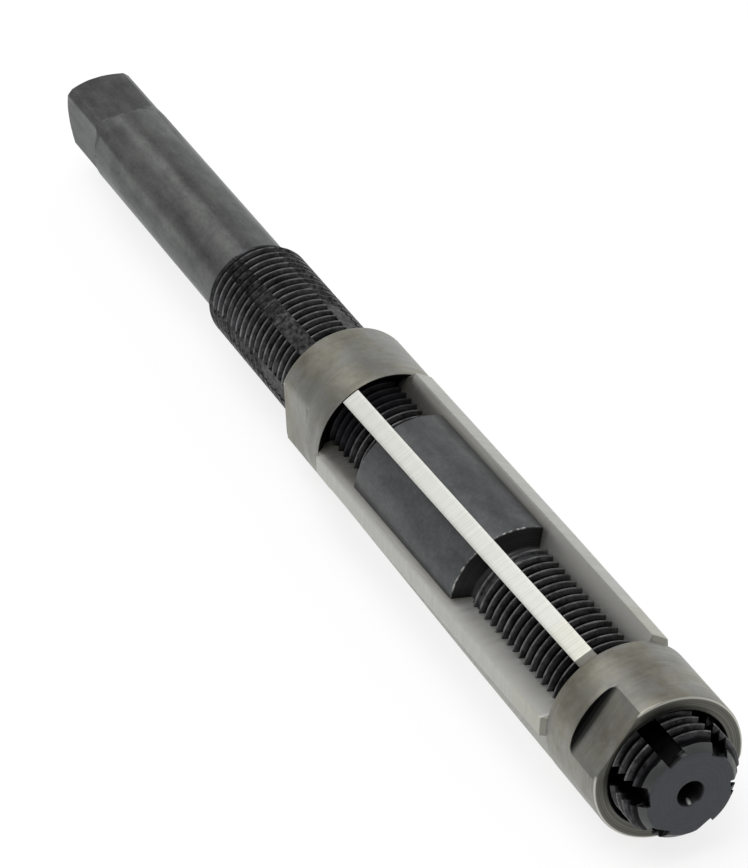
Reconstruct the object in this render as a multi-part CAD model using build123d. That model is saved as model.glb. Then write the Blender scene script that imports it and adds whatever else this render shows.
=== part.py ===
from build123d import *
from math import asin, cos, radians, sin, sqrt, tan
import os

# Adjustable hand reamer: one holder, six taper-backed blades and the two nuts that clamp and shift them.
# Millimetres. Stations run along the tool, from 0 at the driving end to overall_length at the nose.
# From the upper thread on, stations are counted back from the nose, so a longer tool has a longer shank.

# Holder, driving end and shank
overall_length = 181.0
square_across_flats = 9.6
square_length = 11.5
square_runout_radius = 2.8
drive_chamfer_length = 1.2
drive_chamfer_drop = 1.6
shank_diameter = 12.5

# Holder, threads and the plain land between them
thread_diameter = 14.85
upper_thread_length = 51.4
lower_thread_length = 43.2
land_diameter = 18.2
land_length = 27.8
land_shoulder_length = 1.7
undercut_length = 1.0
neck_diameter = 13.4
neck_length = 0.7
thread_chamfer_angle = 45.0
nose_face_diameter = 11.4
nose_chamfer_length = 1.9

# Centre holes in both ends
centre_mouth_diameter = 3.6
centre_pilot_diameter = 2.0
centre_cone_angle = 60.0
centre_pilot_length = 2.6

# Blades and their slots; each blade narrows in three stages from its widest circle
blade_count = 6
first_blade_angle = 28.7
blade_thickness = 2.5
cutting_diameter = 20.8
cutting_edge_length = 63.0
back_taper_drop = 0.05
taper_length = 17.0
taper_drop = 0.1
lead_length = 6.8
lead_drop = 0.06
margin_width = 0.4
relief_angle = 5.0
blade_toe_height = 0.55
slot_taper_angle = 1.1
slot_floor_at_nose = 5.2
slot_skew_angle = 0.76
slot_crossing_from_nose = 112.1
slot_side_clearance = 0.03
slot_floor_clearance = 0.03

# Nuts; each has a cone in the mouth that faces the blades
nose_reach = 5.4
upper_nut_length = 12.7
upper_nut_wall = 2.1
upper_lip = 0.35
upper_flat_length = 8.1
upper_flat_angle = 87.0
lower_nut_length = 12.1
lower_nut_wall = 2.3
lower_lip = 0.35
lower_flat_length = 6.5
lower_flat_angle = 47.5
seat_angle = 45.0
seat_clearance = 0.05
thread_clearance = 0.05
nut_across_flats = 17.0
flat_corner_radius = 0.6
nut_edge_radius = 0.3
bore_chamfer = 0.5

# Roll from a flat of the square facing up to where two blades straddle the line that the tool lies on
rest_roll_angle = 4.0

# Places and radii that follow from the sizes above
thread_radius = thread_diameter / 2
land_radius = land_diameter / 2
neck_radius = neck_diameter / 2
shank_radius = shank_diameter / 2
cutting_radius = cutting_diameter / 2
bore_radius = thread_radius + thread_clearance
upper_nut_radius = bore_radius + upper_nut_wall
lower_nut_radius = bore_radius + lower_nut_wall
upper_seat_radius = upper_nut_radius - upper_lip
lower_seat_radius = lower_nut_radius - lower_lip
seat_slope = tan(radians(seat_angle))
lower_nut_end = overall_length - nose_reach
lower_mouth = lower_nut_end - lower_nut_length
edge_start_radius = cutting_radius - back_taper_drop
edge_end_radius = cutting_radius - taper_drop - lead_drop
edge_end = lower_mouth - (edge_end_radius - lower_seat_radius) / seat_slope - seat_clearance
edge_start = edge_end - cutting_edge_length
upper_mouth = edge_start - (edge_start_radius - upper_seat_radius) / seat_slope - seat_clearance
upper_nut_back = upper_mouth - upper_nut_length
slot_crossing = overall_length - slot_crossing_from_nose
neck_end = overall_length - lower_thread_length
neck_start = neck_end - neck_length
land_end = neck_start - undercut_length
land_start = land_end - land_length
upper_thread_start = land_start - upper_thread_length

# Cutters reach this far past the material that they cut.
past_end = 1.0
beyond_radius = max(cutting_radius, upper_nut_radius, lower_nut_radius) + past_end

# The tool lies on its larger nut, with the axis along X and the nose towards +X.
axis_height = max(upper_nut_radius, lower_nut_radius)
to_frame = Pos(-overall_length / 2, 0, axis_height) * Rot(rest_roll_angle, 0, 0)


def turned(points):
    """Solid of revolution about the tool's axis from (station, radius) points."""
    return revolve(Plane.XZ * make_face(Polyline(*points, close=True)), Axis.X)


def side_profile(sketch, width):
    """Solid of a (station, height) sketch, as wide as given and centred on the tool's axis."""
    return extrude(Plane.XZ * sketch, width / 2, both=True)


def turned_by(angle, solid):
    """The solid turned about the tool's axis; 0 is upright and positive leans towards -Y."""
    return Rot(angle, 0, 0) * solid


def slot_floor(station):
    """Radius of a slot's floor at a station; it rises from the nose towards the shank."""
    return slot_floor_at_nose + (overall_length - station) * tan(radians(slot_taper_angle))


def centre_hole(face_station, inward):
    """Centre hole as a cutter: a cone in the face, then a pilot; inward is +1 or -1 along the axis."""
    mouth = centre_mouth_diameter / 2
    pilot = centre_pilot_diameter / 2
    cone_depth = (mouth - pilot) / tan(radians(centre_cone_angle / 2))
    bottom = cone_depth + centre_pilot_length
    return turned([
        (face_station, 0),
        (face_station, mouth),
        (face_station + inward * cone_depth, pilot),
        (face_station + inward * bottom, pilot),
        (face_station + inward * (bottom + pilot), 0),
    ])


def square_cutter():
    """Cutter for the upper flat of the driving square, with the milling cutter's run-out at its end."""
    flat = square_across_flats / 2
    top = shank_radius + square_runout_radius
    foot = (square_length, flat)
    rim = (square_length + square_runout_radius, flat + square_runout_radius)
    diagonal = square_runout_radius * sin(radians(45))
    middle = (square_length + diagonal, flat + square_runout_radius - diagonal)
    outline = Polyline(rim, (rim[0], top), (-past_end, top), (-past_end, flat), foot)
    outline += ThreePointArc(foot, middle, rim)
    return side_profile(make_face(outline), 2 * top)


def slot_middle(station):
    """Sideways place, towards +Y, of an upright slot's middle plane, which runs slightly skew to the axis."""
    return (station - slot_crossing) * tan(radians(slot_skew_angle))


def slot_cutter(width, floor_lift):
    """Upright cutter for one skewed blade slot, from the upper thread's start out past the nose."""
    start = upper_thread_start
    end = overall_length + past_end
    outline = Polyline(
        (start, slot_floor(start) + floor_lift),
        (end, slot_floor(end) + floor_lift),
        (end, beyond_radius),
        (start, beyond_radius),
        close=True,
    )
    straight = side_profile(make_face(outline), width)
    return Pos(slot_crossing, 0, 0) * Rot(0, 0, slot_skew_angle) * Pos(-slot_crossing, 0, 0) * straight


def blade_angles():
    return [first_blade_angle + number * 360 / blade_count for number in range(blade_count)]


def make_holder():
    thread_slope = tan(radians(thread_chamfer_angle))
    upper_chamfer = (thread_radius - shank_radius) / thread_slope
    lower_chamfer = (thread_radius - neck_radius) / thread_slope
    holder = turned([
        (0, 0),
        (0, shank_radius - drive_chamfer_drop),
        (drive_chamfer_length, shank_radius),
        (upper_thread_start, shank_radius),
        (upper_thread_start + upper_chamfer, thread_radius),
        (land_start - land_shoulder_length, thread_radius),
        (land_start, land_radius),
        (land_end, land_radius),
        (neck_start, neck_radius),
        (neck_end, neck_radius),
        (neck_end + lower_chamfer, thread_radius),
        (overall_length - nose_chamfer_length, thread_radius),
        (overall_length, nose_face_diameter / 2),
        (overall_length, 0),
    ])
    for quarter in range(4):
        holder -= turned_by(quarter * 90, square_cutter())
    slot = slot_cutter(blade_thickness + 2 * slot_side_clearance, 0)
    for angle in blade_angles():
        holder -= turned_by(angle, slot)
    holder -= centre_hole(0, 1)
    holder -= centre_hole(overall_length, -1)
    return holder


def edge_outline():
    """Stations and radii of the circle that the cutting edges stand on: widest before the starting taper."""
    lead_start = edge_end - lead_length
    return [
        (edge_start, edge_start_radius),
        (lead_start - taper_length, cutting_radius),
        (lead_start, cutting_radius - taper_drop),
        (edge_end, edge_end_radius),
    ]


def blade_envelope():
    """Turned outline that the six blades are ground to, with a cone at each end that fits its nut's mouth."""
    toe = thread_radius + blade_toe_height
    upper_toe = edge_start - (edge_start_radius - toe) / seat_slope
    lower_toe = edge_end + (edge_end_radius - toe) / seat_slope
    return turned([(upper_toe, 0), (upper_toe, toe), *edge_outline(), (lower_toe, toe), (lower_toe, 0)])


def relief_section(station, radius):
    """Section of the relief cutter: it starts where the margin ends and falls away from the circle there."""
    margin_end = slot_middle(station) - blade_thickness / 2 + margin_width
    crest = sqrt(radius**2 - margin_end**2)
    reach = blade_thickness
    fall = reach * tan(asin(margin_end / radius) + radians(relief_angle))
    outline = Polyline(
        (margin_end, crest),
        (margin_end + reach, crest - fall),
        (margin_end + reach, beyond_radius),
        (margin_end, beyond_radius),
        close=True,
    )
    return Plane.YZ.offset(station) * make_face(outline)


def relief_cutter():
    """Upright cutter for the relief behind the narrow circular margin of a blade's leading edge."""
    start = (edge_start - past_end, edge_start_radius)
    end = (edge_end + past_end, edge_end_radius)
    return loft([relief_section(*place) for place in [start, *edge_outline(), end]], ruled=True)


def make_blade():
    """One upright blade: parallel sides, a tapered back on the slot's floor and a ground outer edge."""
    blank = slot_cutter(blade_thickness, slot_floor_clearance) & blade_envelope()
    return blank - relief_cutter()


def flat_pair(start, length, shoulder, angle):
    """Cutters for two opposite wrench flats; shoulder is the station of their closed end."""
    reach = beyond_radius - nut_across_flats / 2
    middle = Pos(start + length / 2, 0, nut_across_flats / 2 + reach / 2)
    block = middle * Box(length, 2 * beyond_radius, reach)
    floor_edges = block.edges().filter_by(Axis.Y).group_by(Axis.Z)[0]
    corner = floor_edges.sort_by(lambda edge: abs(edge.center().X - shoulder))[0]
    block = fillet(corner, flat_corner_radius)
    return turned_by(angle, block) + turned_by(angle + 180, block)


def nut_ring(mouth, back, outer, seat):
    """Ring with a cone in its mouth, a small chamfer in its bore and a rounded outer edge at its back."""
    inward = 1 if back > mouth else -1
    seat_depth = (seat - bore_radius) / seat_slope
    ring = turned([
        (mouth, seat),
        (mouth, outer),
        (back, outer),
        (back, bore_radius + bore_chamfer),
        (back - inward * bore_chamfer, bore_radius),
        (mouth + inward * seat_depth, bore_radius),
    ])
    back_edges = ring.edges().filter_by(GeomType.CIRCLE).filter_by_position(Axis.X, back, back)
    return fillet(back_edges.sort_by(SortBy.RADIUS)[-1], nut_edge_radius)


def make_upper_nut():
    nut = nut_ring(upper_mouth, upper_nut_back, upper_nut_radius, upper_seat_radius)
    start = upper_nut_back - past_end
    shoulder = upper_nut_back + upper_flat_length
    return nut - flat_pair(start, upper_flat_length + past_end, shoulder, upper_flat_angle)


def make_lower_nut():
    nut = nut_ring(lower_mouth, lower_nut_end, lower_nut_radius, lower_seat_radius)
    shoulder = lower_nut_end - lower_flat_length
    return nut - flat_pair(shoulder, lower_flat_length + past_end, shoulder, lower_flat_angle)


nodes = {
    "reamer_body": make_holder(),
    "upper_nut": make_upper_nut(),
    "lower_nut": make_lower_nut(),
}
blade = make_blade()
for number, angle in enumerate(blade_angles(), start=1):
    nodes[f"blade_{number}"] = turned_by(angle, blade)

os.makedirs("parts", exist_ok=True)
for name, solid in nodes.items():
    export_step(to_frame * solid, f"parts/{name}.step")
    print(name, "volume", round(solid.volume, 1))

# Travel of the pieces: a blade slides along its slot's floor and each nut's cone follows its ends.
taper = radians(slot_taper_angle)
skew = radians(slot_skew_angle)
rise = sin(taper)
advance = cos(taper) * cos(skew)
blade_per_upper_nut = 1 / (advance + rise / seat_slope)
lower_nut_per_upper_nut = (advance - rise / seat_slope) * blade_per_upper_nut
print("blade slide per upper nut travel", round(blade_per_upper_nut, 6))
print("lower nut travel per upper nut travel", round(lower_nut_per_upper_nut, 6))
for number, angle in enumerate(blade_angles(), start=1):
    axis = Vector(-advance, -cos(taper) * sin(skew), rise).rotate(Axis.X, rest_roll_angle + angle)
    print("slide axis of blade", number, [round(value, 6) for value in axis])
print("stations: upper nut", round(upper_nut_back, 3), round(upper_mouth, 3),
      "edges", round(edge_start, 3), round(edge_end, 3), "lower nut", round(lower_mouth, 3), lower_nut_end)
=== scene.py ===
import math
from typing import NamedTuple

import bmesh
import bpy
import numpy as np
from mathutils import Matrix, Vector


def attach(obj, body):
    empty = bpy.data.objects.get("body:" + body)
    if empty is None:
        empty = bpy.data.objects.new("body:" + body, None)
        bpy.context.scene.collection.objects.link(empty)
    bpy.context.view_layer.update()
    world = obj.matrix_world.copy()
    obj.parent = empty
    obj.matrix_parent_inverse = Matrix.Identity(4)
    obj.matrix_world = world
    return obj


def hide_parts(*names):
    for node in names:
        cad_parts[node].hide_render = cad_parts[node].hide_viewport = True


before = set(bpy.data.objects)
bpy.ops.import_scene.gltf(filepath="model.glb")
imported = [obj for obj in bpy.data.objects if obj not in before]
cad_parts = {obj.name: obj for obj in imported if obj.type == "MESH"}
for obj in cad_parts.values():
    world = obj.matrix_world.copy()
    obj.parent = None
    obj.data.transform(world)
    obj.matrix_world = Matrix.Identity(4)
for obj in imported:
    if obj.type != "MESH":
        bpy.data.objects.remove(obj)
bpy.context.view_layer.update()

# Camera at the photograph's viewing angle; its numbers come from a pinhole fit to the photograph.
camera_data = bpy.data.cameras.new("camera")
camera_data.sensor_fit = "HORIZONTAL"
camera_data.sensor_width = 36.0
camera_data.lens = 214.603
camera_data.clip_start = 0.01
camera = bpy.data.objects.new("camera", camera_data)
camera_right = (0.421943, 0.906160, -0.028944)
camera_up = (-0.492039, 0.255693, 0.832176)
camera_back = (0.761487, -0.336889, 0.553755)
camera_place = (0.444151, -0.194578, 0.328255)
camera.matrix_world = Matrix([*zip(camera_right, camera_up, camera_back, camera_place), (0, 0, 0, 1)])
bpy.context.scene.collection.objects.link(camera)
bpy.context.scene.camera = camera

# Sizes in millimetres, as in the CAD model. Stations run from 0 at the driving end to LENGTH at the nose.
# Angles go round the axis from straight up towards -Y, and take in the tool's roll as it lies.
MM = 0.001
LENGTH = 181.0
AXIS_Z = 9.775
ROLL = 4.0
SHANK_R = 6.25
FLAT_R = 4.8
FLAT_END = 11.5
FLAT_RUNOUT = 2.8
END_CHAMFER_LENGTH = 1.2
END_FACE_R = 4.65
THREAD_R = 7.425
PITCH = 1.5
ROOT_R = 6.5
UPPER_THREAD = 56.9
LAND_START = 108.3
LAND_END = 136.1
LAND_R = 9.1
LAND_SHOULDER = 1.7
NECK_START = 137.1
NECK_END = 137.8
NECK_R = 6.7
NOSE_CHAMFER = 1.9
NOSE_FACE_R = 5.7
CENTRE_R = 1.8
PILOT_R = 1.0
CENTRE_DEPTH = 1.386
PILOT_DEPTH = 2.6
SLOT_COUNT = 6
FIRST_SLOT = 28.7
SLOT_HALF = 1.28
SLOT_FLOOR = 5.2
SLOT_RISE = math.tan(math.radians(1.1))
SLOT_SKEW = math.tan(math.radians(0.76))
SLOT_CROSSING = 68.9
BLADE_HALF = 1.25
BLADE_TOE_R = 7.975
BLADE_LIFT = 0.03
MARGIN = 0.4
RELIEF = math.radians(5.0)
SEAT_GAP = 0.05
BORE_R = 7.475
BORE_CHAMFER = 0.5
NUT_FLAT_R = 8.5
FLAT_CORNER = 0.6
NUT_EDGE = 0.3

BLADE_TURNS = [FIRST_SLOT + ROLL + number * 360 / SLOT_COUNT for number in range(SLOT_COUNT)]

# Slack for rounding where angles or lengths are compared.
SLACK = 1e-6

# The circle that the cutting edges stand on, as stations and radii. The lead begins at the third station.
EDGE_STATIONS = (99.635, 138.835, 155.835, 162.635)
EDGE_RADII = (10.35, 10.4, 10.3, 10.24)


class Nut(NamedTuple):
    """Stations of a nut's mouth, back and flats' wall, its radii, and the turn of its flats in degrees."""

    mouth: float
    back: float
    wall: float
    outside: float
    seat: float
    turn: float

    @property
    def inward(self):
        """Direction along the tool from the mouth to the back."""
        return 1 if self.back > self.mouth else -1


UPPER_NUT = Nut(mouth=98.46, back=85.76, wall=93.86, outside=9.575, seat=9.225, turn=87.0 + ROLL)
LOWER_NUT = Nut(mouth=163.5, back=175.6, wall=169.1, outside=9.775, seat=9.425, turn=47.5 + ROLL)


def point(t, r, angle):
    """Points in metres from stations, radii and angles in radians."""
    t, r, angle = np.broadcast_arrays(t, r, angle)
    return np.stack([t - LENGTH / 2, -r * np.sin(angle), AXIS_Z + r * np.cos(angle)], axis=-1) * MM


def slot_floor(t):
    """Height of a slot's floor over the axis."""
    return SLOT_FLOOR + (LENGTH - t) * SLOT_RISE


def slot_middle(t):
    """Sideways place of a slot's middle, towards larger angles; the slots run slightly skew to the axis."""
    return (SLOT_CROSSING - t) * SLOT_SKEW


# Meshes


WELD = 0.002 * MM
SHARP_ANGLE = 32
BROKEN_SHARP_ANGLE = 40


class Skin:
    """Collects grids of points into one mesh. Rows run along the tool and columns round it."""

    def __init__(self):
        self.points = []
        self.faces = []
        self.count = 0

    def add(self, points):
        """Adds points and gives the index of the first."""
        first = self.count
        self.points.append(points.reshape(-1, 3))
        self.count += len(self.points[-1])
        return first

    def grid(self, rows, spiral=0):
        """Adds quads between closed rows; on a spiral skin a row closes on the row that many places on."""
        n, m = rows.shape[:2]
        index = self.add(rows) + np.arange(n * m).reshape(n, m)
        a, b = index[:-1, :-1], index[:-1, 1:]
        c, d = index[1:, 1:], index[1:, :-1]
        self.faces.append(np.stack([a, b, c, d], axis=-1).reshape(-1, 4))
        last, first = index[:n - spiral, -1], index[spiral:, 0]
        self.faces.append(np.stack([last[:-1], first[:-1], first[1:], last[1:]], axis=-1))

    def cap(self, ring, reverse):
        """Closes a ring of points, whose two halves face each other, with a row of quads."""
        base, count = self.add(ring), len(ring)
        for i in range((count - 1) // 2):
            quad = [base + i, base + i + 1, base + count - 2 - i, base + count - 1 - i]
            self.faces.append(np.array([quad[::-1] if reverse else quad]))

    def mesh(self, name):
        data = bpy.data.meshes.new(name)
        points = np.concatenate(self.points)
        faces = np.concatenate(self.faces)
        data.vertices.add(len(points))
        data.vertices.foreach_set("co", points.astype(np.float32).ravel())
        data.loops.add(faces.size)
        data.loops.foreach_set("vertex_index", faces.astype(np.int32).ravel())
        data.polygons.add(len(faces))
        data.polygons.foreach_set("loop_start", np.arange(0, faces.size, 4, dtype=np.int32))
        data.update(calc_edges=True)
        work = bmesh.new()
        work.from_mesh(data)
        bmesh.ops.remove_doubles(work, verts=work.verts, dist=WELD)
        bmesh.ops.dissolve_degenerate(work, edges=work.edges, dist=WELD)
        bmesh.ops.recalc_face_normals(work, faces=work.faces)
        work.to_mesh(data)
        work.free()
        data.update()
        return data


def shade(data, sharp_angle):
    """Shades a mesh smooth, apart from edges sharper than an angle in degrees."""
    data.polygons.foreach_set("use_smooth", np.ones(len(data.polygons), bool))
    data.set_sharp_from_angle(angle=math.radians(sharp_angle))


def make_object(data, name, mat):
    shade(data, SHARP_ANGLE)
    data.materials.append(mat)
    obj = bpy.data.objects.new(name, data)
    bpy.context.scene.collection.objects.link(obj)
    return obj


def break_edges(obj, width, angle):
    """Breaks an object's edges that are sharper than an angle in degrees, and makes the result its mesh."""
    modifier = obj.modifiers.new("edges", "BEVEL")
    modifier.width = width * MM
    modifier.segments = 2
    modifier.limit_method = "ANGLE"
    modifier.angle_limit = math.radians(angle)
    modifier.use_clamp_overlap = True
    graph = bpy.context.evaluated_depsgraph_get()
    data = bpy.data.meshes.new_from_object(obj.evaluated_get(graph))
    obj.modifiers.clear()
    obj.data = data
    shade(data, BROKEN_SHARP_ANGLE)


def join(objects, name):
    with bpy.context.temp_override(active_object=objects[0], selected_editable_objects=objects):
        bpy.ops.object.join()
    objects[0].name = name
    objects[0].data.name = name
    return objects[0]


# Parts of materials. Their textures follow the object's own coordinates, in metres.


FINE_RELIEF = 0.03 * MM

# Places of the colour sockets of a mix.
MIX_FIRST, MIX_SECOND, MIX_RESULT = 6, 7, 2


def material(name):
    mat = bpy.data.materials.new(name)
    mat.use_nodes = True
    tree = mat.node_tree
    return mat, tree, tree.nodes["Principled BSDF"]


def node(tree, kind, **values):
    made = tree.nodes.new(kind)
    for key, value in values.items():
        if key in made.inputs:
            made.inputs[key].default_value = value
        else:
            setattr(made, key, value)
    return made


def feed(tree, socket, value):
    """Links an output to a socket, or sets the socket to a number or colour."""
    if isinstance(value, bpy.types.NodeSocket):
        tree.links.new(value, socket)
    elif isinstance(value, tuple):
        socket.default_value = (*value, 1.0)
    else:
        socket.default_value = value


def maths(tree, operation, *values):
    made = node(tree, "ShaderNodeMath", operation=operation)
    for socket, value in zip(made.inputs, values):
        feed(tree, socket, value)
    return made.outputs[0]


def product(tree, first, *others):
    """The product of numbers, such as masks that run from 0 to 1."""
    for other in others:
        first = maths(tree, "MULTIPLY", first, other)
    return first


def diagonal(tree, first, second):
    """The root of the sum of two numbers' squares."""
    squares = product(tree, first, first), product(tree, second, second)
    return maths(tree, "SQRT", maths(tree, "ADD", *squares))


def object_point(tree):
    return node(tree, "ShaderNodeTexCoord").outputs["Object"]


def noise(tree, scale, detail=4.0, roughness=0.6, offset=0.0):
    """Noise with its own scale along X, Y and Z."""
    mapping = node(tree, "ShaderNodeMapping", Scale=scale, Location=(offset, offset, offset))
    tree.links.new(object_point(tree), mapping.inputs["Vector"])
    made = node(tree, "ShaderNodeTexNoise", Detail=detail, Roughness=roughness, Scale=1.0)
    tree.links.new(mapping.outputs["Vector"], made.inputs["Vector"])
    return made.outputs["Fac"]


def streaks(tree, value, scale):
    """Noise that follows one number alone, such as the radius."""
    made = node(tree, "ShaderNodeTexNoise", Detail=3.0, Roughness=0.6, Scale=1.0)
    vector = node(tree, "ShaderNodeCombineXYZ")
    tree.links.new(product(tree, value, scale), vector.inputs["X"])
    tree.links.new(vector.outputs["Vector"], made.inputs["Vector"])
    return made.outputs["Fac"]


def ramp(tree, source, stops):
    """Colour ramp; a stop is a position with a grey level or a colour."""
    made = node(tree, "ShaderNodeValToRGB")
    elements = made.color_ramp.elements
    while len(elements) < len(stops):
        elements.new(0.5)
    for element, (position, colour) in zip(elements, stops):
        element.position = position
        element.color = (*colour, 1.0) if isinstance(colour, tuple) else (colour, colour, colour, 1.0)
    tree.links.new(source, made.inputs["Fac"])
    return made.outputs["Color"]


def varied(tree, source, low, high, start=0.3, end=0.7):
    """Runs from one grey level or colour to another while the source runs from start to end."""
    return ramp(tree, source, [(start, low), (end, high)])


def fade(tree, source, start, end):
    """Runs smoothly from 0 at start to 1 at end, whichever of the two is larger."""
    rising = start < end
    made = node(tree, "ShaderNodeMapRange", interpolation_type="SMOOTHSTEP")
    made.inputs["From Min"].default_value = min(start, end)
    made.inputs["From Max"].default_value = max(start, end)
    made.inputs["To Min"].default_value = 0.0 if rising else 1.0
    made.inputs["To Max"].default_value = 1.0 if rising else 0.0
    tree.links.new(source, made.inputs["Value"])
    return made.outputs["Result"]


def mixed(tree, factor, first, second, blend="MIX"):
    made = node(tree, "ShaderNodeMix", data_type="RGBA", blend_type=blend)
    feed(tree, made.inputs["Factor"], factor)
    feed(tree, made.inputs[MIX_FIRST], first)
    feed(tree, made.inputs[MIX_SECOND], second)
    return made.outputs[MIX_RESULT]


def tinted(tree, colour, tint):
    """The product of two colours."""
    return mixed(tree, 1.0, colour, tint, "MULTIPLY")


def millimetres(tree, axis):
    """The station, or the height or side over the tool's axis, at the shaded point."""
    parts = node(tree, "ShaderNodeSeparateXYZ")
    tree.links.new(object_point(tree), parts.inputs["Vector"])
    offset = {"X": LENGTH / 2, "Y": 0.0, "Z": -AXIS_Z}[axis]
    return maths(tree, "ADD", product(tree, parts.outputs[axis], 1 / MM), offset)


def station_and_radius(tree):
    """The station and the distance from the tool's axis at the shaded point."""
    return millimetres(tree, "X"), diagonal(tree, millimetres(tree, "Y"), millimetres(tree, "Z"))


def on_slot_floor(tree, t, r):
    """1 on the floor of a blade slot, found from the turn to the nearest slot, and 0 elsewhere."""
    above, blur = 0.03, 0.02
    half_step = math.pi / SLOT_COUNT
    turn = maths(tree, "ARCTAN2", product(tree, millimetres(tree, "Y"), -1.0), millimetres(tree, "Z"))
    turn = maths(tree, "SUBTRACT", turn, math.radians(BLADE_TURNS[0]))
    turn = maths(tree, "WRAP", turn, half_step, -half_step)
    middle = product(tree, maths(tree, "SUBTRACT", SLOT_CROSSING, t), SLOT_SKEW)
    side = maths(tree, "SUBTRACT", product(tree, r, maths(tree, "SINE", turn)), middle)
    height = product(tree, r, maths(tree, "COSINE", turn))
    rise = product(tree, maths(tree, "SUBTRACT", LENGTH, t), SLOT_RISE)
    limit = maths(tree, "ADD", rise, SLOT_FLOOR + above)
    within = fade(tree, maths(tree, "ABSOLUTE", side), SLOT_HALF + blur, SLOT_HALF - blur)
    return product(tree, within, maths(tree, "LESS_THAN", height, limit))


def finish(tree, shader, colour, rough, relief, metallic, strength):
    """Sets a metal's colour, roughness and metallic share, and a fine relief of a given strength."""
    tree.links.new(colour, shader.inputs["Base Color"])
    shader.inputs["Metallic"].default_value = metallic
    tree.links.new(rough, shader.inputs["Roughness"])
    made = node(tree, "ShaderNodeBump", Strength=strength, Distance=FINE_RELIEF)
    tree.links.new(relief, made.inputs["Height"])
    tree.links.new(made.outputs["Normal"], shader.inputs["Normal"])


# Materials


def shank_steel():
    """Blackened steel rubbed to a dull greenish grey, with lengthwise streaks and small blotches."""
    mat, tree, shader = material("shank_steel")
    colour = varied(tree, noise(tree, (25, 420, 420)), (0.115, 0.118, 0.115), (0.164, 0.168, 0.163))
    blotches = noise(tree, (260, 420, 420), detail=6.0, offset=3.0)
    colour = tinted(tree, colour, varied(tree, blotches, 0.72, 1.08, end=0.6))
    grain = noise(tree, (1600, 2200, 2200), detail=2.0, offset=7.0)
    colour = tinted(tree, colour, varied(tree, grain, 0.88, 1.06))
    rough = varied(tree, noise(tree, (120, 900, 900)), 0.22, 0.33)
    relief = noise(tree, (900, 1600, 1600), detail=6.0)
    finish(tree, shader, colour, rough, relief, metallic=0.85, strength=0.25)
    shader.inputs["Specular Tint"].default_value = (0.55, 0.56, 0.56, 1)
    return mat


def thread_steel():
    """Blackened threads: painted black shade in the roots, dark flanks, crests that are lighter from wear and
    a painted highlight, and mottled floors in the shallow slots.

    Between stations 95 and 105, in the upper nut's mouth, they are darkened by painted shade.
    """
    mat, tree, shader = material("thread_steel")
    t, r = station_and_radius(tree)
    dirt = noise(tree, (1100, 800, 800), detail=6.0, roughness=0.75)
    flank = varied(tree, dirt, (0.010, 0.010, 0.011), (0.085, 0.086, 0.090), 0.35, 0.68)
    # Painted black shade in the thread's roots, fading into the flanks' own colour.
    dark = mixed(tree, fade(tree, r, 6.7, 7.15), (0.003, 0.003, 0.004), flank)
    # The crests' lighter colour is partly wear and partly a painted highlight.
    wear = noise(tree, (900, 600, 600), detail=6.0, roughness=0.75)
    crest_wear_and_highlight = varied(tree, wear, 0.05, 0.26, 0.35, 0.68)
    colour = mixed(tree, fade(tree, r, 7.27, 7.40), dark, crest_wear_and_highlight)
    # Painted shade darkens the threads inside the upper nut's mouth.
    painted_mouth_shade = product(tree, fade(tree, t, 95.0, 97.0), fade(tree, t, 105.0, 101.0), 0.8)
    colour = mixed(tree, painted_mouth_shade, colour, (0.006, 0.006, 0.009))
    mottled = varied(tree, noise(tree, (1300, 1500, 1500)), 0.010, 0.085, 0.36, 0.64)
    shallow = product(tree, on_slot_floor(tree, t, r), fade(tree, r, 6.75, 7.0))
    colour = mixed(tree, shallow, colour, mottled)
    rough = varied(tree, noise(tree, (900, 900, 900)), 0.26, 0.45)
    relief = noise(tree, (2500, 1500, 1500))
    finish(tree, shader, colour, rough, relief, metallic=0.8, strength=0.6)
    shader.inputs["Specular Tint"].default_value = (0.6, 0.6, 0.6, 1)
    return mat


def land_steel():
    """The plain land's blue-black, painted black shade in its slots and undercut, bright specks on its end's
    edge.
    """
    mat, tree, shader = material("land_steel")
    t, r = station_and_radius(tree)
    mottled = noise(tree, (240, 420, 420), detail=6.0)
    colour = varied(tree, mottled, (0.066, 0.068, 0.071), (0.112, 0.115, 0.117))
    grain = noise(tree, (1800, 1800, 1800), detail=2.0)
    colour = tinted(tree, colour, varied(tree, grain, 0.85, 1.08))
    at_end = fade(tree, t, LAND_END - 0.18, LAND_END - 0.05)
    specks = fade(tree, noise(tree, (900, 700, 700)), 0.46, 0.58)
    colour = mixed(tree, product(tree, at_end, specks), colour, (0.55, 0.55, 0.52))
    # Painted black shade, with rings from turning, in the slots and the undercut; the neck keeps a plain dark
    # grey.
    below = fade(tree, r, LAND_R - 0.03, LAND_R - 0.2)
    past_shoulder = fade(tree, t, LAND_START + 0.1, LAND_START + 0.3)
    painted_shade_rings = varied(tree, streaks(tree, t, 9.0), 0.008, 0.017, 0.4, 0.65)
    at_neck = fade(tree, t, NECK_START - 0.15, NECK_START + 0.1)
    painted_shade_rings = mixed(tree, at_neck, painted_shade_rings, (0.060, 0.060, 0.062))
    colour = mixed(tree, product(tree, below, past_shoulder), colour, painted_shade_rings)
    rough = varied(tree, noise(tree, (200, 1200, 1200)), 0.30, 0.46)
    relief = noise(tree, (1500, 1900, 1900), detail=5.0)
    finish(tree, shader, colour, rough, relief, metallic=0.7, strength=0.25)
    return mat


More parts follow.
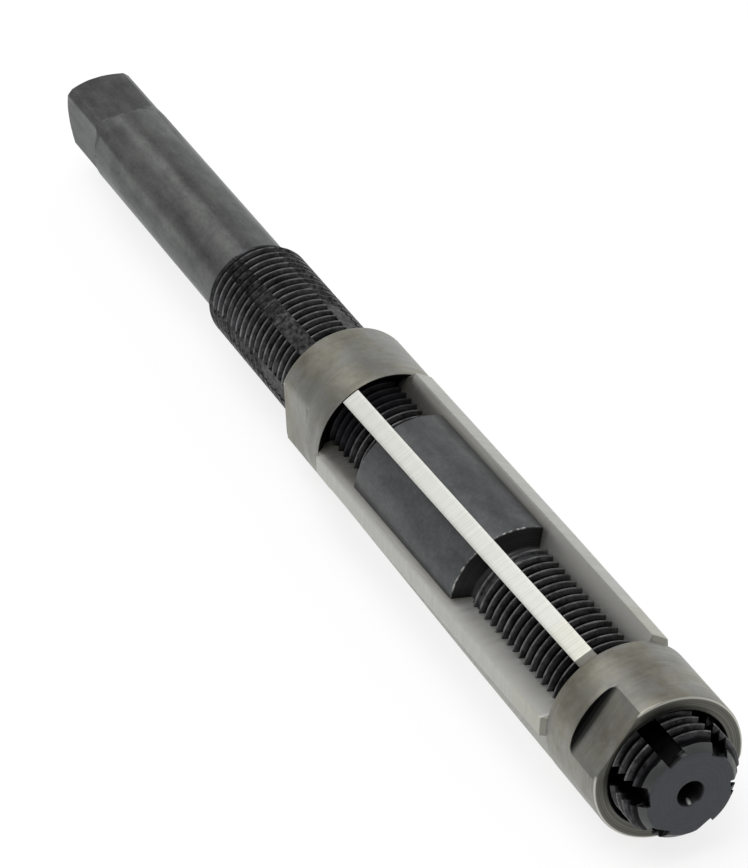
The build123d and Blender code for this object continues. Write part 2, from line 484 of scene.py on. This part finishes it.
def nose_steel():
    """The nose's blue-black face with faint rings from turning, painted black shade in its slots and hole,
    and a painted glint in the hole.
    """
    mat, tree, shader = material("nose_steel")
    t, r = station_and_radius(tree)
    rings = varied(tree, streaks(tree, r, 7.0), (0.036, 0.038, 0.044), (0.060, 0.062, 0.068))
    on_chamfer = fade(tree, r, NOSE_FACE_R - 0.1, NOSE_FACE_R + 0.05)
    colour = mixed(tree, on_chamfer, rings, (0.068, 0.070, 0.070))
    # Painted black shade in the slots and the centre hole behind the face.
    behind_face = fade(tree, t, LENGTH - 0.05, LENGTH - 0.3)
    within_face = fade(tree, r, NOSE_FACE_R - 0.05, NOSE_FACE_R - 0.2)
    colour = mixed(tree, product(tree, behind_face, within_face), colour, (0.006, 0.006, 0.007))
    # A painted glint low in the centre hole.
    glint_drop = 1.5
    away = diagonal(tree, millimetres(tree, "Y"), maths(tree, "ADD", millimetres(tree, "Z"), glint_drop))
    glint = product(tree, fade(tree, away, 0.34, 0.1), behind_face)
    colour = mixed(tree, glint, colour, (0.55, 0.55, 0.53))
    rough = varied(tree, noise(tree, (1200, 1200, 1200)), 0.34, 0.5)
    finish(tree, shader, colour, rough, streaks(tree, r, 16.0), metallic=0.6, strength=0.25)
    return mat


def turned_steel(name, nut):
    """A nut's satin steel: olive grey with brown patches and rings, with painted shade in its corners, mouth
    and bore.
    """
    mat, tree, shader = material(name)
    t, r = station_and_radius(tree)
    inward = nut.inward
    olive = ramp(tree, noise(tree, (170, 170, 170), detail=6.0, roughness=0.7),
                 [(0.3, (0.160, 0.151, 0.116)), (0.5, (0.236, 0.229, 0.188)), (0.7, (0.310, 0.303, 0.258))])
    patches = noise(tree, (320, 240, 240), detail=6.0, roughness=0.7, offset=5.0)
    grey = varied(tree, patches, (0.200, 0.198, 0.182), (0.300, 0.300, 0.285))
    colour = mixed(tree, fade(tree, noise(tree, (110, 110, 110), offset=2.0), 0.42, 0.58), olive, grey)
    rings = noise(tree, (2600, 90, 90), detail=5.0)
    colour = tinted(tree, colour, varied(tree, rings, 0.92, 1.06))
    below_rim = fade(tree, r, nut.outside - 0.02, nut.outside - 0.12)
    # Painted shade on each flat's wall and on the flat next to it.
    corner = fade(tree, t, nut.wall + inward * 1.3, nut.wall + inward * 0.1)
    colour = mixed(tree, product(tree, corner, below_rim), colour, (0.012, 0.012, 0.012))
    end_face = fade(tree, t, nut.back - inward * 0.12, nut.back - inward * 0.02)
    faced = varied(tree, streaks(tree, r, 4.0), (0.062, 0.060, 0.050), (0.155, 0.154, 0.138), 0.35, 0.65)
    colour = mixed(tree, product(tree, end_face, below_rim), colour, faced)
    # A painted highlight along the back's outer edge.
    painted_edge_highlight = fade(tree, r, nut.outside - 0.34, nut.outside - 0.2)
    near_end = fade(tree, t, nut.back - inward * 0.35, nut.back - inward * 0.25)
    colour = mixed(tree, product(tree, painted_edge_highlight, below_rim, near_end), colour, (0.50, 0.495, 0.45))
    # Painted near-black shade in the mouth below the seat and in the bore and its chamfer.
    below_seat = fade(tree, r, nut.seat + 0.01, nut.seat - 0.06)
    in_mouth = fade(tree, t, nut.wall, nut.mouth - inward * 0.4)
    bore = fade(tree, r, BORE_R + BORE_CHAMFER + 0.03, BORE_R + BORE_CHAMFER - 0.05)
    inside = maths(tree, "MAXIMUM", product(tree, below_seat, in_mouth), bore)
    colour = mixed(tree, inside, colour, (0.010, 0.010, 0.010))
    rough = varied(tree, noise(tree, (1800, 120, 120)), 0.34, 0.5)
    relief = noise(tree, (3000, 160, 160), detail=6.0)
    finish(tree, shader, colour, rough, relief, metallic=1.0, strength=0.18)
    return mat


def ground_steel(name, land):
    """A blade's ground steel: a pale land with fine lines across it, greyer sides, and the bevel at each end
    greyed by painted shade.

    The sides are dark, with painted shade that deepens inwards beside the holder's land, and are even and
    paler past its end.
    """
    mat, tree, shader = material(name)
    t, r = station_and_radius(tree)
    land_past = LAND_END + 0.5, LAND_END + 2.5
    side = varied(tree, noise(tree, (70, 700, 700)), (0.32, 0.315, 0.295), (0.47, 0.465, 0.44))
    # Painted shade that grows inwards on the sides beside the holder's land.
    painted_shade_by_land = product(tree, fade(tree, r, 9.8, 8.6), fade(tree, t, *reversed(land_past)))
    side = mixed(tree, painted_shade_by_land, side, (0.22, 0.215, 0.20))
    side = mixed(tree, fade(tree, t, *land_past), side, (0.43, 0.427, 0.408))
    lines = noise(tree, (7000, 120, 120), detail=2.0)
    pale = tinted(tree, land, varied(tree, lines, 0.89, 1.03, 0.32, 0.68))
    first, lead, last = EDGE_STATIONS[0], EDGE_STATIONS[2], EDGE_STATIONS[3]
    on_lead = fade(tree, t, lead - 0.1, lead + 0.1)
    pale = mixed(tree, on_lead, pale, tinted(tree, pale, (0.97, 0.965, 0.92)))
    colour = mixed(tree, fade(tree, r, 10.02, 10.14), side, pale)
    # Painted shade on the bevel at each end.
    first_bevel = fade(tree, t, first + 0.05, first - 0.1)
    last_bevel = fade(tree, t, last - 0.05, last + 0.1)
    painted_bevel_shade = maths(tree, "MAXIMUM", first_bevel, last_bevel)
    colour = mixed(tree, painted_bevel_shade, colour, (0.24, 0.235, 0.205))
    rough = varied(tree, noise(tree, (2400, 300, 300)), 0.34, 0.5)
    relief = noise(tree, (5200, 150, 150))
    finish(tree, shader, colour, rough, relief, metallic=0.8, strength=0.25)
    return mat


# Holder


# Columns on a sector of the skin and on a slot's floor, and the turns of a search for a point's place.
SECTOR_COLUMNS = 18
FLOOR_COLUMNS = 6
SETTLE_STEPS = 4

# Columns on a flat of the driving square and between two flats.
FLAT_COLUMNS = 12
CORNER_COLUMNS = 5

# Rings on the end's chamfer, on the square, on the flats' run-out, as shares of it, and on the plain shank,
# which begins a gap after the run-out.
CHAMFER_RINGS = 8
SQUARE_STATIONS = (4.0, 8.0, FLAT_END)
RUNOUT_SHARES = (0.15, 0.3, 0.45, 0.6, 0.75, 0.87, 0.95, 0.99)
RUNOUT_GAP = 0.02
SHANK_STATIONS = (25.0, 40.0)

# One pitch of thread, as shares of the pitch and radii: a narrow root, 60 degree flanks and a narrow crest.
THREAD_SHARES = (0.0, 0.09, 0.435, 0.565, 0.91, 1.0)
THREAD_RADII = (ROOT_R, ROOT_R + 0.03, THREAD_R, THREAD_R, ROOT_R + 0.03, ROOT_R)
THREAD_ROWS = (0.0, 0.09, 0.2625, 0.435, 0.565, 0.7375, 0.91)

# Where a crest of each thread lies, as a station and an angle, and the lower thread's shallow first turn.
UPPER_CREST = (59.16, ROLL)
LOWER_CREST = (141.7, ROLL - 5)
FIRST_TURN_R = 7.12
FIRST_TURN_END = 139.7
FIRST_TURN_FADE = 0.9

# Where the upper thread's grooves begin to fade out across the slots, and where the slots' floors are solid.
SOLID_STATIONS = (64.0, 80.0)

# How far the threads and other hidden ends reach past where they end, and how far they lie below the skin.
THREAD_REACH = 0.4
LAND_REACH = 0.6
HIDDEN_REACH = 0.3
JUST_BELOW = 0.005
BELOW = 0.03
WELL_BELOW = 0.1

# Short arcs at the land's and the nose's edges, and where the nose's skin meets the rings of its centre hole.
SMALL_ARC = 0.12
ARC_POINTS = 3
MOST_OF_A_SIDE = 0.45
NOSE_INNER_R = 5.0
HOLE_TIP_R = 0.01


def slotted_ring(surface, station, solid=lambda t: 0.0):
    """Columns of points round a slotted section; surface and station give radii and stations at an angle.

    Within a slot the surface reaches out to solid(station) at least.
    """
    columns = []
    step = 2 * math.pi / SLOT_COUNT
    for turn in BLADE_TURNS:
        middle = math.radians(turn)
        for s in np.linspace(-SLOT_HALF, SLOT_HALF, FLOOR_COLUMNS + 1):
            angle = middle
            for _ in range(SETTLE_STEPS):
                t = station(angle)
                side = slot_middle(t) + s
                r = np.maximum(surface(angle), solid(t))
                height = np.minimum(slot_floor(t), np.sqrt(r ** 2 - side ** 2))
                angle = middle + np.arctan2(side, height)
            columns.append(point(t, np.hypot(side, height), angle))
        for u in np.linspace(0, 1, SECTOR_COLUMNS + 1):
            angle = middle + u * step
            for _ in range(SETTLE_STEPS):
                t, r = station(angle), surface(angle)
                first = middle + np.arcsin((slot_middle(t) + SLOT_HALF) / r)
                last = middle + step + np.arcsin((slot_middle(t) - SLOT_HALF) / r)
                angle = first + u * (last - first)
            columns.append(point(station(angle), surface(angle), angle))
    return np.stack(columns, axis=1)


def thread_skin(start, end, envelope, crest, shallow, solid=lambda t: 0.0):
    """A right-hand threaded length whose rows follow the helix.

    Its surface runs from shallow(station) out to envelope(station), and in the slots from solid(station) out.
    """
    crest_station, crest_angle = crest[0], math.radians(crest[1])
    first = math.floor((start - crest_station) / PITCH) - 1
    last = math.ceil((end - crest_station) / PITCH) + 2
    phases = np.array([turn + share for turn in range(first, last) for share in THREAD_ROWS])
    profile = np.interp(phases % 1.0, THREAD_SHARES, THREAD_RADII)

    def station(angle):
        raw = crest_station + (phases - 0.5 + (angle - crest_angle) / (2 * math.pi)) * PITCH
        return np.clip(raw, start, end)

    def surface(angle):
        t = station(angle)
        return np.minimum(np.maximum(profile, shallow(t)), envelope(t))

    rows = slotted_ring(surface, station, solid)
    low, high = rows[:, :, 0].min(), rows[:, :, 0].max()
    least = 0.0001 * MM
    keep = (rows[:, :, 0].max(1) > low + least) & (rows[:, :, 0].min(1) < high - least)
    skin = Skin()
    skin.grid(rows[keep], spiral=len(THREAD_ROWS))
    return skin


def slotted_section(t, r):
    """One slotted ring at a constant station and radius."""
    return slotted_ring(lambda angle: np.full(1, float(r)), lambda angle: np.full(1, float(t)))[0]


def rounded(profile):
    """The profile with short arcs at its inner corners."""
    out = [profile[0]]
    for before, here, after in zip(profile, profile[1:], profile[2:]):
        a, b, c = map(np.array, (before, here, after))
        towards_a, towards_c = a - b, c - b
        length_a, length_c = np.linalg.norm(towards_a), np.linalg.norm(towards_c)
        reach = min(SMALL_ARC, length_a * MOST_OF_A_SIDE, length_c * MOST_OF_A_SIDE)
        p, q = b + towards_a / length_a * reach, b + towards_c / length_c * reach
        for k in np.linspace(0, 1, ARC_POINTS):
            out.append(tuple((1 - k) ** 2 * p + 2 * k * (1 - k) * b + k * k * q))
    out.append(profile[-1])
    return out


def shank_ring(t, flats=True):
    """Points round the driving square or the shank; the columns stay in line where the flats run out."""
    r = min(SHANK_R, END_FACE_R + (SHANK_R - END_FACE_R) * t / END_CHAMFER_LENGTH)
    flat = FLAT_R
    if t > FLAT_END:
        flat += FLAT_RUNOUT - math.sqrt(max(FLAT_RUNOUT ** 2 - (t - FLAT_END) ** 2, 0))
    half = math.acos(min(flat / r, 1.0)) if flats else math.acos(FLAT_R / SHANK_R)
    columns = []
    for quarter in range(4):
        middle = math.radians(quarter * 90 + ROLL)
        for u in np.linspace(-1, 1, FLAT_COLUMNS + 1):
            angle = half * u
            columns.append(point(t, min(r, flat / math.cos(angle)) if flats else r, middle + angle))
        for u in np.linspace(0, 1, CORNER_COLUMNS + 2)[1:-1]:
            columns.append(point(t, r, middle + half + u * (math.pi / 2 - 2 * half)))
    return np.stack(columns)


def circle_like(ring, t, r):
    """A circle at a station whose points have the angles of the ring's points."""
    centre = point(t, 0.0, 0.0)
    away = ring - centre
    away[:, 0] = 0
    away /= np.linalg.norm(away, axis=1, keepdims=True)
    out = centre + away * r * MM
    out[:, 0] = centre[0]
    return out


def centre_hole(ring, face, inward):
    """Rings from the mouth of a centre hole in a face down to its bottom."""
    bottom = CENTRE_DEPTH + PILOT_DEPTH
    places = [(0, CENTRE_R), (CENTRE_DEPTH, PILOT_R), (bottom, PILOT_R), (bottom + PILOT_R, HOLE_TIP_R)]
    return [circle_like(ring, face + inward * depth, r) for depth, r in places]


def make_shank():
    runout = math.sqrt(FLAT_RUNOUT ** 2 - (FLAT_RUNOUT - (SHANK_R - FLAT_R)) ** 2)
    square = [*np.linspace(0, END_CHAMFER_LENGTH, CHAMFER_RINGS), *SQUARE_STATIONS]
    square += [FLAT_END + runout * share for share in RUNOUT_SHARES]
    round_stations = (FLAT_END + runout + RUNOUT_GAP, *SHANK_STATIONS, UPPER_THREAD + BELOW)
    rings = [shank_ring(t) for t in square] + [shank_ring(t, flats=False) for t in round_stations]
    skin = Skin()
    skin.grid(np.stack(centre_hole(rings[0], 0.0, 1)[::-1] + rings))
    shank = make_object(skin.mesh("shank"), "shank", shank_steel())
    break_edges(shank, width=0.12, angle=20)
    return shank


def make_upper_thread():
    """The thread under the upper nut; its grooves fade out across the slots, and the land hides its end."""
    def envelope(t):
        start = np.where(t < UPPER_THREAD, SHANK_R - BELOW, SHANK_R + (t - UPPER_THREAD))
        return np.minimum(start, THREAD_R)

    def shallow(t):
        return np.full_like(t, ROOT_R)

    def solid(t):
        return np.minimum(np.interp(t, SOLID_STATIONS, (ROOT_R, THREAD_R)), envelope(t))

    start, end = UPPER_THREAD - THREAD_REACH, LAND_START - LAND_REACH
    skin = thread_skin(start, end, envelope, UPPER_CREST, shallow, solid)
    return make_object(skin.mesh("upper_thread"), "upper_thread", thread_steel())


def make_land():
    """The plain land, the undercut after it and the neck."""
    slope = (LAND_R - THREAD_R) / LAND_SHOULDER
    hidden = ROOT_R - WELL_BELOW
    profile = [(LAND_START - (LAND_R - hidden) / slope, hidden), (LAND_START, LAND_R), (LAND_END, LAND_R),
               (NECK_START, NECK_R), (NECK_END + HIDDEN_REACH, NECK_R)]
    skin = Skin()
    skin.grid(np.stack([slotted_section(t, r) for t, r in rounded(profile)]))
    return make_object(skin.mesh("land"), "land", land_steel())


def make_lower_thread():
    """The thread under the lower nut, up to the chamfer of the nose; its first turn is shallow."""
    slope = (THREAD_R - NOSE_FACE_R) / NOSE_CHAMFER

    def envelope(t):
        start = np.where(t < NECK_END, NECK_R - BELOW, NECK_R + (t - NECK_END))
        end = THREAD_R - slope * (t - (LENGTH - NOSE_CHAMFER))
        end = np.where(end < ROOT_R, end - BELOW, end)
        return np.minimum(np.minimum(start, end), THREAD_R)

    def shallow(t):
        return np.interp(t, (FIRST_TURN_END, FIRST_TURN_END + FIRST_TURN_FADE), (FIRST_TURN_R, ROOT_R))

    skin = thread_skin(NECK_END - THREAD_REACH, LENGTH - THREAD_REACH, envelope, LOWER_CREST, shallow)
    return make_object(skin.mesh("lower_thread"), "lower_thread", thread_steel())


def make_nose():
    """The rest of the nose's chamfer inside the thread's root, the face and the centre hole."""
    slope = (THREAD_R - NOSE_FACE_R) / NOSE_CHAMFER
    cone = LENGTH - (ROOT_R - NOSE_FACE_R) / slope
    profile = [(cone - HIDDEN_REACH, ROOT_R - WELL_BELOW), (cone, ROOT_R - JUST_BELOW), (LENGTH, NOSE_FACE_R),
               (LENGTH, NOSE_INNER_R)]
    sections = [slotted_section(t, r) for t, r in rounded(profile)]
    skin = Skin()
    skin.grid(np.stack(sections + centre_hole(sections[-1], LENGTH, -1)))
    return make_object(skin.mesh("nose"), "nose", nose_steel())


def make_holder():
    return join([make_shank(), make_upper_thread(), make_land(), make_lower_thread(), make_nose()], "holder")


# Blades


# Places across a blade from its cutting side, rows along its outer edge, and how far those stay in from
# the edge's ends.
BLADE_SIDES = np.array([BLADE_HALF, BLADE_HALF - MARGIN, 0.4, 0.0, -0.4, -0.8, -BLADE_HALF])
LAND_ROWS = 16
END_ROWS_IN = 0.5


def blade_top(t):
    """Heights of a blade's outer edge over the axis: a narrow margin on the circle, then the relief."""
    circle = np.interp(t, EDGE_STATIONS, EDGE_RADII)
    side = slot_middle(t) + BLADE_SIDES
    margin_end = slot_middle(t) + BLADE_HALF - MARGIN
    crest = np.sqrt(circle ** 2 - margin_end ** 2)
    fall = np.tan(RELIEF - np.arcsin(margin_end / circle))
    relieved = crest - (margin_end - side) * fall
    return np.where(side >= margin_end - SLACK, np.sqrt(circle ** 2 - side ** 2), relieved)


def blade_end_row(base, sign, edge):
    """Stations and heights where the outer edge, or else the toe's circle, meets an end's cone."""
    t = np.full_like(BLADE_SIDES, base + sign * (EDGE_RADII[0] if edge else BLADE_TOE_R))
    for _ in range(SETTLE_STEPS):
        side = slot_middle(t) + BLADE_SIDES
        height = blade_top(t) if edge else np.sqrt(BLADE_TOE_R ** 2 - side ** 2)
        t = base + sign * np.hypot(height, side)
    return t, height


def make_blade(number, turn, mat):
    """Cross-sections from one back corner over the outer edge to the other, between the ends' cones."""
    upper = UPPER_NUT.mouth + SEAT_GAP - UPPER_NUT.seat
    lower = LOWER_NUT.mouth - SEAT_GAP + LOWER_NUT.seat
    first, last = EDGE_STATIONS[0] + END_ROWS_IN, EDGE_STATIONS[-1] - END_ROWS_IN
    stations = sorted([*np.linspace(first, last, LAND_ROWS), *EDGE_STATIONS[1:-1]])
    rows = [blade_end_row(upper, 1, edge=False), blade_end_row(upper, 1, edge=True)]
    rows += [(np.full_like(BLADE_SIDES, t), blade_top(np.full_like(BLADE_SIDES, t))) for t in stations]
    rows += [blade_end_row(lower, -1, edge=True), blade_end_row(lower, -1, edge=False)]
    grid = []
    for t, height in rows:
        t = np.concatenate([t[:1], t, t[-1:]])
        s = slot_middle(t) + np.concatenate([BLADE_SIDES[:1], BLADE_SIDES, BLADE_SIDES[-1:]])
        v = np.concatenate([[slot_floor(t[0]) + BLADE_LIFT], height, [slot_floor(t[-1]) + BLADE_LIFT]])
        grid.append(point(t, np.hypot(s, v), math.radians(turn) + np.arctan2(s, v)))
    skin = Skin()
    skin.grid(np.stack(grid))
    skin.cap(grid[0], False)
    skin.cap(grid[-1], True)
    blade = make_object(skin.mesh(f"blade_steel_{number}"), f"blade_steel_{number}", mat)
    break_edges(blade, width=0.07, angle=30)
    return blade


# Nuts


# Columns on a flat and on the round between two flats, rings on the corner of a flat's wall and on the back's
# edge, and shares of the length at which there are rings between the mouth, the wall and the back.
NUT_FLAT_COLUMNS = 25
NUT_ROUND_COLUMNS = 41
WALL_CORNER_RINGS = 6
BACK_EDGE_RINGS = 4
MOUTH_TO_WALL = (0.25, 0.5, 0.75, 1.0)
WALL_TO_BACK = (0.4, 0.7)


def make_nut(name, mat, nut):
    """A ring from the cone in its mouth over the rim and the two wrench flats to the bore."""
    mouth, back, outside, wall, inward = nut.mouth, nut.back, nut.outside, nut.wall, nut.inward
    middle = math.radians(nut.turn)
    half = math.acos(NUT_FLAT_R / outside)
    angles = []
    for side in range(2):
        start = middle + math.pi * side
        angles += [start + half * u for u in np.linspace(-1, 1, NUT_FLAT_COLUMNS)]
        between = np.linspace(0, 1, NUT_ROUND_COLUMNS)[1:-1]
        angles += [start + half + (math.pi - 2 * half) * u for u in between]
    angles = np.array(angles)
    off = (angles - middle + math.pi / 2) % math.pi - math.pi / 2

    def ring(t, r, lift=None):
        """A ring at a station and a radius, cut by flats raised by lift where that is given."""
        radii = np.full_like(angles, r)
        if lift is not None:
            flat = (NUT_FLAT_R + lift) / np.cos(off)
            radii = np.where(np.abs(off) <= half + SLACK, np.minimum(radii, flat), radii)
        return point(t, radii, angles)

    rows = [ring(mouth + inward * (nut.seat - BORE_R), BORE_R), ring(mouth, nut.seat), ring(mouth, outside)]
    rows += [ring(mouth + (wall - mouth) * share, outside) for share in MOUTH_TO_WALL]
    for k in np.linspace(0, math.pi / 2, WALL_CORNER_RINGS):
        t = wall + inward * FLAT_CORNER * (1 - math.cos(k))
        rows.append(ring(t, outside, FLAT_CORNER * (1 - math.sin(k))))
    rows += [ring(wall + (back - wall) * share, outside, 0.0) for share in WALL_TO_BACK]
    for k in np.linspace(0, math.pi / 2, BACK_EDGE_RINGS):
        t = back - inward * NUT_EDGE * (1 - math.sin(k))
        rows.append(ring(t, outside - NUT_EDGE * (1 - math.cos(k)), 0.0))
    rows += [ring(back, BORE_R + BORE_CHAMFER), ring(back - inward * BORE_CHAMFER, BORE_R), rows[0]]
    skin = Skin()
    skin.grid(np.stack(rows))
    made = make_object(skin.mesh(name), name, mat)
    break_edges(made, width=0.1, angle=30)
    return made


holder = make_holder()
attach(holder, "holder")
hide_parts("reamer_body")
# The upper blade's paler land is a painted highlight: a lit copy of the same ground steel.
painted_highlight_blade = ground_steel("painted_highlight_blade", (0.80, 0.80, 0.755))
grey_blade = ground_steel("grey_blade", (0.465, 0.465, 0.435))
for number, turn in enumerate(BLADE_TURNS, start=1):
    blade = make_blade(number, turn, painted_highlight_blade if number == 1 else grey_blade)
    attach(blade, f"blade_{number}")
    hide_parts(f"blade_{number}")
for name, sizes in (("upper_nut", UPPER_NUT), ("lower_nut", LOWER_NUT)):
    nut = make_nut(name + "_steel", turned_steel(name + "_finish", sizes), sizes)
    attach(nut, name)
    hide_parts(name)


# Floor, world and lamp


FLOOR_REACH = 3
FLOOR_GLOW = 1.1
FLOOR_GLOW_SHARE = 0.72

# The light tent's brightness round the tool, as degrees from straight up towards -Y and levels.
TENT = ((-90, 1.00), (-60, 0.88), (-42, 0.82), (-28, 0.42), (-14, 0.40), (-4, 0.90), (5, 1.35), (12, 1.20),
        (24, 0.86), (36, 0.68), (60, 0.48), (90, 0.52))

# The tent's brightness towards the camera's end, and the directions between which it falls to that.
OPEN_SIDE = 0.5
OPENING = (0.1, 0.7)


def make_floor():
    """A pale floor that keeps the tool's shadow and shows nearly white to the camera and in the metal."""
    a = FLOOR_REACH
    data = bpy.data.meshes.new("floor")
    data.from_pydata([(-a, -a, 0), (a, -a, 0), (a, a, 0), (-a, a, 0)], [], [(0, 1, 2, 3)])
    mat, tree, shader = material("floor")
    shader.inputs["Base Color"].default_value = (0.85, 0.85, 0.85, 1)
    shader.inputs["Roughness"].default_value = 0.9
    shader.inputs["Specular IOR Level"].default_value = 0.0
    path = node(tree, "ShaderNodeLightPath")
    rays = maths(tree, "MAXIMUM", path.outputs["Is Camera Ray"], path.outputs["Is Glossy Ray"])
    rays = maths(tree, "MAXIMUM", rays, path.outputs["Is Transmission Ray"])
    glow = node(tree, "ShaderNodeEmission", Strength=FLOOR_GLOW)
    mix = node(tree, "ShaderNodeMixShader")
    share, plain, glowing = mix.inputs
    tree.links.new(product(tree, rays, FLOOR_GLOW_SHARE), share)
    tree.links.new(shader.outputs["BSDF"], plain)
    tree.links.new(glow.outputs["Emission"], glowing)
    tree.links.new(mix.outputs["Shader"], tree.nodes["Material Output"].inputs["Surface"])
    make_object(data, "floor", mat)


def make_world():
    """A light tent whose pale panels run along the tool, with its darker opening towards the camera."""
    world = bpy.data.worlds.new("world")
    bpy.context.scene.world = world
    world.use_nodes = True
    tree = world.node_tree
    parts = node(tree, "ShaderNodeSeparateXYZ")
    tree.links.new(node(tree, "ShaderNodeTexCoord").outputs["Generated"], parts.inputs["Vector"])
    turn = maths(tree, "ARCTAN2", product(tree, parts.outputs["Y"], -1.0), parts.outputs["Z"])
    place_in_ramp = maths(tree, "ADD", maths(tree, "DIVIDE", turn, math.pi), 0.5)
    panels = ramp(tree, place_in_ramp, [(degrees / 180 + 0.5, level) for degrees, level in TENT])
    opening = ramp(tree, fade(tree, parts.outputs["X"], *OPENING), [(0.0, 1.0), (1.0, OPEN_SIDE)])
    tree.links.new(tinted(tree, panels, opening), tree.nodes["Background"].inputs["Color"])


def make_lamp(name, place, target, size, power):
    data = bpy.data.lights.new(name, "AREA")
    data.shape = "RECTANGLE"
    data.size, data.size_y = size
    data.energy = power
    lamp = bpy.data.objects.new(name, data)
    lamp.location = place
    lamp.rotation_euler = (Vector(target) - Vector(place)).to_track_quat("-Z", "Y").to_euler()
    bpy.context.scene.collection.objects.link(lamp)


make_floor()
make_world()
make_lamp("key", place=(0.05, -0.12, 0.6), target=(0, 0, 0), size=(0.5, 0.5), power=1.5)

bpy.context.scene.view_settings.view_transform = "Standard"
